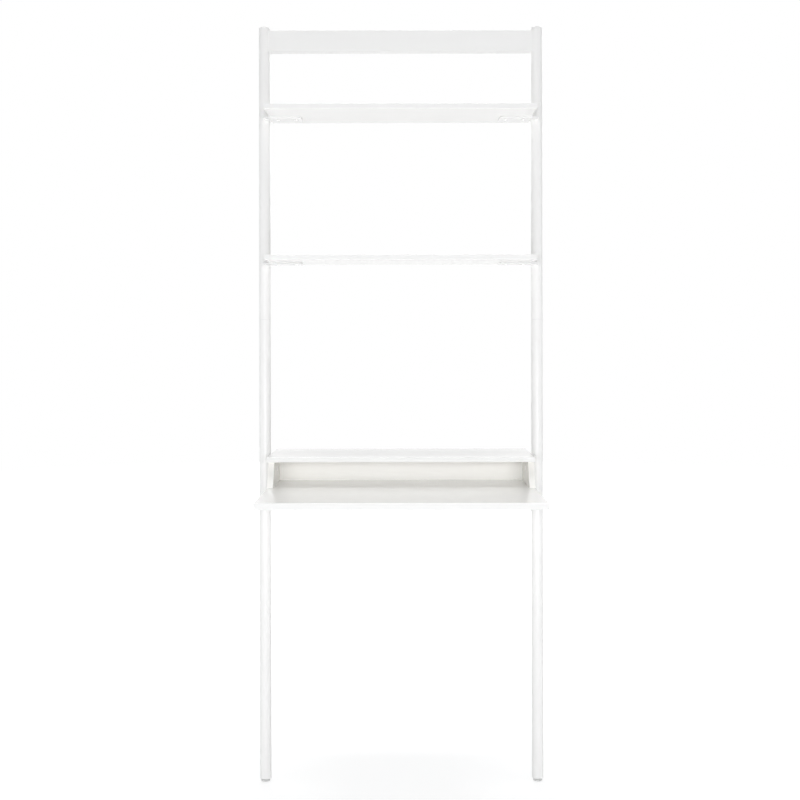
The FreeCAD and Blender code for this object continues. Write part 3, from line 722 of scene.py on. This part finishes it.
def addScrews(name, node, slot, screw, outDir, head, dent):
    mesh = bmesh.new()
    shank = screw["shank"] / 2
    profile = [(pinHole, screw["tall"])] + head + [(shank, 0.0)]
    for place, length in screwPlaces(node, outDir, screw["tall"]):
        turnProfile(mesh, place, profile, screw["spokes"], dent)
        down = place @ Matrix.Rotation(math.pi, 4, "X")
        turnThread(mesh, down, shank, screw["thread"], screw["pitch"], length, screw["threadSpokes"],
                   screw["tip"])
    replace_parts(addPiece(name, mesh, slot, smooth=metalSharp), node)


# Pan head wood screws with a cross recess, under the shelves, the desktop and the hutch
panScrew = {"head": 8.0 * mm, "tall": 2.4 * mm, "shank": 4.0 * mm, "thread": 0.55 * mm, "pitch": 1.8 * mm,
            "cross": 4.6 * mm, "slot": 1.15 * mm, "deep": 1.5 * mm, "tip": 2.6 * mm, "blur": 0.3 * mm,
            "rings": 18, "flat": 0.3, "spokes": 56, "threadSpokes": 20}
head = domeProfile(panScrew)
top = panScrew["tall"] / 2
dent = crossDent(panScrew["cross"], panScrew["slot"], panScrew["deep"], panScrew["blur"], top)
downDir = Vector((0, 0, -1))
addScrews("shelfScrewHeads", "shelf_screws", "white_steel", panScrew, downDir, head, dent)
addScrews("deskScrewHeads", "desk_screws", "zinc_steel", panScrew, downDir, head, dent)
addScrews("hutchScrewHeads", "hutch_screws", "zinc_steel", panScrew, downDir, head, dent)

# Button head screws with a hexagon socket, at the back of the post splices
buttonScrew = {"head": 9.0 * mm, "tall": 2.6 * mm, "shank": 5.0 * mm, "thread": 0.45 * mm,
               "pitch": 0.8 * mm, "socket": 3.0 * mm, "deep": 1.6 * mm, "tip": 0.0, "blur": 0.16 * mm,
               "rings": 22, "flat": 0.42, "spokes": 60, "threadSpokes": 24}
head = domeProfile(buttonScrew)
top = buttonScrew["tall"] / 2
dent = hexDent(buttonScrew["socket"], buttonScrew["deep"], buttonScrew["blur"], top)
addScrews("spliceScrewHeads", "splice_screws", "zinc_steel", buttonScrew, backDir, head, dent)

# Countersunk screws with a cross recess, on top of the wall brackets
sunkScrew = {"head": 7.6 * mm, "tall": 2.0 * mm, "shank": 4.0 * mm, "thread": 0.5 * mm, "pitch": 1.4 * mm,
             "cross": 4.4 * mm, "slot": 1.1 * mm, "deep": 1.3 * mm, "tip": 2.4 * mm, "blur": 0.3 * mm,
             "topShare": 0.9, "rings": 18, "spokes": 56, "threadSpokes": 20}
top = sunkScrew["tall"] * sunkScrew["topShare"]
dent = crossDent(sunkScrew["cross"], sunkScrew["slot"], sunkScrew["deep"], sunkScrew["blur"], top)
head = [(sunkScrew["head"] / 2 * ring / sunkScrew["rings"], sunkScrew["tall"])
        for ring in range(1, sunkScrew["rings"] + 1)]
addScrews("bracketScrewHeads", "bracket_screws", "zinc_steel", sunkScrew, alongDir, head, dent)

# Cam locks in the hutch sides: a turned disc with a rim groove, a cross slot and a pointer notch
camLock = {"radius": 6.0 * mm, "deep": 11.0 * mm, "lip": 0.35 * mm, "groove": 0.5 * mm, "cross": 7.0 * mm,
           "slot": 1.7 * mm, "slotDeep": 2.2 * mm, "slotBlur": 0.35 * mm, "grooveAt": 0.8,
           "grooveHalf": 0.35 * mm, "pointerAt": 0.92, "pointer": 0.6 * mm, "pointerDeep": 0.8 * mm,
           "blur": 0.2 * mm, "rings": 22, "spokes": 64}


def camDent(x, y, height):
    cam = camLock
    if height < cam["deep"] - cam["lip"] * 2:
        return 0.0
    radius = math.hypot(x, y)
    ring = softStep(abs(radius - cam["grooveAt"] * cam["radius"]), cam["grooveHalf"], cam["blur"])
    pointer = softStep(math.hypot(x - cam["pointerAt"] * cam["radius"], y), cam["pointer"], cam["blur"])
    return max(cam["groove"] * ring, cam["pointerDeep"] * pointer, camCross(x, y, height))


camCross = crossDent(camLock["cross"], camLock["slot"], camLock["slotDeep"], camLock["slotBlur"], 0.0)
mesh = bmesh.new()
for solid in islands("cam_locks"):
    middle = solidMiddle(solid)
    inward = Vector((-math.copysign(1.0, middle.x), 0, 0))
    outerFace = min(point.dot(inward) for point in solid)
    start = middle - inward * middle.dot(inward) + inward * outerFace
    place = Matrix.Translation(start) @ inward.to_track_quat("Z", "Y").to_matrix().to_4x4()
    face = [(camLock["radius"] * ring / camLock["rings"], camLock["deep"])
            for ring in range(1, camLock["rings"])]
    edge = [(camLock["radius"], camLock["deep"] - camLock["lip"]), (camLock["radius"], 0.0)]
    turnProfile(mesh, place, [(pinHole, camLock["deep"])] + face + edge, camLock["spokes"], camDent)
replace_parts(addPiece("camLockFaces", mesh, "zinc_steel", smooth=metalSharp), "cam_locks")

# Levelling studs: ball end, neck and a threaded shank
levelStud = {"ball": 3.5 * mm, "neck": 2.3 * mm, "thread": 0.75 * mm, "pitch": 1.25 * mm,
             "radius": 4.0 * mm, "collar": 0.8 * mm, "shankOver": 3.7 * mm, "ballSteps": 24,
             "spokes": 40, "threadSpokes": 32}
for side, sign in sides.items():
    node = "level_stud_" + side
    spots = leanSpots(node)
    low, high = corners(spots)
    ballAlong = low.z + levelStud["ball"]
    ownX = sign * postX
    turn = alongDir.to_track_quat("Z", "Y").to_matrix().to_4x4()
    place = Matrix.Translation(onFrame(ownX, 0, ballAlong)) @ turn
    shankAt = min(spot.z for spot in spots if math.hypot(spot.x - ownX, spot.y) > levelStud["shankOver"])
    rise = shankAt - ballAlong
    neckAngle = math.asin(levelStud["neck"] / levelStud["ball"])
    ball = []
    for step in range(1, levelStud["ballSteps"] + 1):
        angle = math.pi - (math.pi - neckAngle) * step / levelStud["ballSteps"]
        ball.append((levelStud["ball"] * math.sin(angle), levelStud["ball"] * math.cos(angle)))
    collar = [(levelStud["neck"], rise), (levelStud["radius"] - levelStud["thread"] / 2, rise),
              (levelStud["radius"] - levelStud["thread"] / 2, rise + levelStud["collar"])]
    mesh = bmesh.new()
    turnProfile(mesh, place, [(pinHole, -levelStud["ball"])] + ball + collar, levelStud["spokes"])
    shank = place @ Matrix.Translation((0, 0, rise))
    turnThread(mesh, shank, levelStud["radius"], levelStud["thread"], levelStud["pitch"], high.z - shankAt,
               levelStud["threadSpokes"])
    name = "levelStud" + side.capitalize()
    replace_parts(addPiece(name, mesh, "zinc_steel", side + "_leveller"), node)

# Floor: pale, with the desk's shadow, and lifted to white where it is seen so that it meets the background
floor = {"radius": 7.0, "colour": tone(0.90, 0.90, 0.90), "lift": 0.55, "white": 1.25, "fade": (0.7, 1.8),
         "grainScale": 40.0, "roughness": 0.80, "roughnessSpread": 0.1, "specular": 0.1, "segments": 96}


def makeFloor():
    look = Look(bpy.data.materials.new("paleFloor"))
    grain = look.noise(look.place(), floor["grainScale"], 2.0)
    away = look.node("ShaderNodeVectorMath", {"operation": "LENGTH"}, {0: look.place()}, "Value")
    near, far = floor["fade"]
    fade = look.node("ShaderNodeMapRange", {"interpolation_type": "SMOOTHSTEP"}, {
        "Value": away,
        "From Min": near,
        "From Max": far,
        "To Min": floor["lift"],
        "To Max": 1.0,
    })
    paint = look.node("ShaderNodeBsdfPrincipled", {}, {
        "Base Color": floor["colour"],
        "Roughness": around(grain, floor["roughness"], floor["roughnessSpread"]),
        "Specular IOR Level": floor["specular"],
    })
    white = look.node("ShaderNodeEmission", {}, {"Color": tone(1, 1, 1), "Strength": floor["white"]})
    both = look.node("ShaderNodeMixShader", {}, {0: look.seen() * fade, 1: paint, 2: white})
    look.node("ShaderNodeOutputMaterial", {}, {"Surface": both})
    mesh = bmesh.new()
    bmesh.ops.create_circle(mesh, cap_ends=True, radius=floor["radius"], segments=floor["segments"])
    data = bpy.data.meshes.new("floor")
    mesh.to_mesh(data)
    mesh.free()
    data.materials.append(look.owner)
    ground = bpy.data.objects.new("floor", data)
    scene.collection.objects.link(ground)


makeFloor()

# Soft studio light: a dim white room, a long panel behind the camera at about its height, one far
# overhead, one on each side and one high behind the desk
room = {"ambient": 0.12, "backdrop": 1.0, "colour": tone(0.990, 1.0, 1.013)}
panels = {
    "front": {"place": (0.0, -4.4, 1.16), "aim": (0.0, 0.0, 0.95), "size": (3.6, 1.2), "watts": 120.0},
    "above": {"place": (0.0, 0.0, 8.0), "aim": (0.0, -0.1, 0.6), "size": (4.8, 1.5), "watts": 238.0},
    "behind": {"place": (0.0, 2.4, 2.6), "aim": (0.0, 0.0, 1.0), "size": (3.4, 2.0), "watts": 52.0},
    "left": {"place": (-3.4, -0.4, 1.1), "aim": (0.0, 0.0, 1.0), "size": (2.4, 2.2), "watts": 20.0},
    "right": {"place": (3.4, -0.4, 1.1), "aim": (0.0, 0.0, 1.0), "size": (2.4, 2.2), "watts": 20.0},
}


def makeLight():
    look = Look(bpy.data.worlds.new("whiteRoom"))
    scene.world = look.owner
    seen = look.seen()
    strength = seen * (room["backdrop"] - room["ambient"]) + room["ambient"]
    hue = look.mix(seen, room["colour"], tone(1, 1, 1))
    sky = look.node("ShaderNodeBackground", {}, {"Color": hue, "Strength": strength})
    look.node("ShaderNodeOutputWorld", {}, {"Surface": sky})
    for name, panel in panels.items():
        lamp = bpy.data.lights.new(name, "AREA")
        lamp.shape = "RECTANGLE"
        lamp.size, lamp.size_y = panel["size"]
        lamp.energy = panel["watts"]
        lamp.color = room["colour"][:3]
        holder = bpy.data.objects.new(name, lamp)
        holder.location = panel["place"]
        holder.rotation_euler = (Vector(panel["aim"]) - holder.location).to_track_quat("-Z", "Y").to_euler()
        scene.collection.objects.link(holder)


makeLight()
print("floor and light set")

# Camera as in the photograph: a little above the desk, tipped down
photoCamera = {"lens": 47.12, "tip": 85.0, "height": 1.0893, "away": 2.4838, "roll": -0.10,
               "shift": (-0.0014, 0.0395)}
eye = bpy.data.cameras.new("photoCamera")
eye.lens = photoCamera["lens"]
eye.sensor_width = 36.0
eye.shift_x, eye.shift_y = photoCamera["shift"]
tripod = bpy.data.objects.new("photoCamera", eye)
tripod.location = (0, -photoCamera["away"], photoCamera["height"])
tripod.rotation_mode = "ZYX"
tripod.rotation_euler = (math.radians(photoCamera["tip"]), 0, math.radians(photoCamera["roll"]))
scene.collection.objects.link(tripod)
scene.camera = tripod
print("camera set")

bpy.context.view_layer.update()
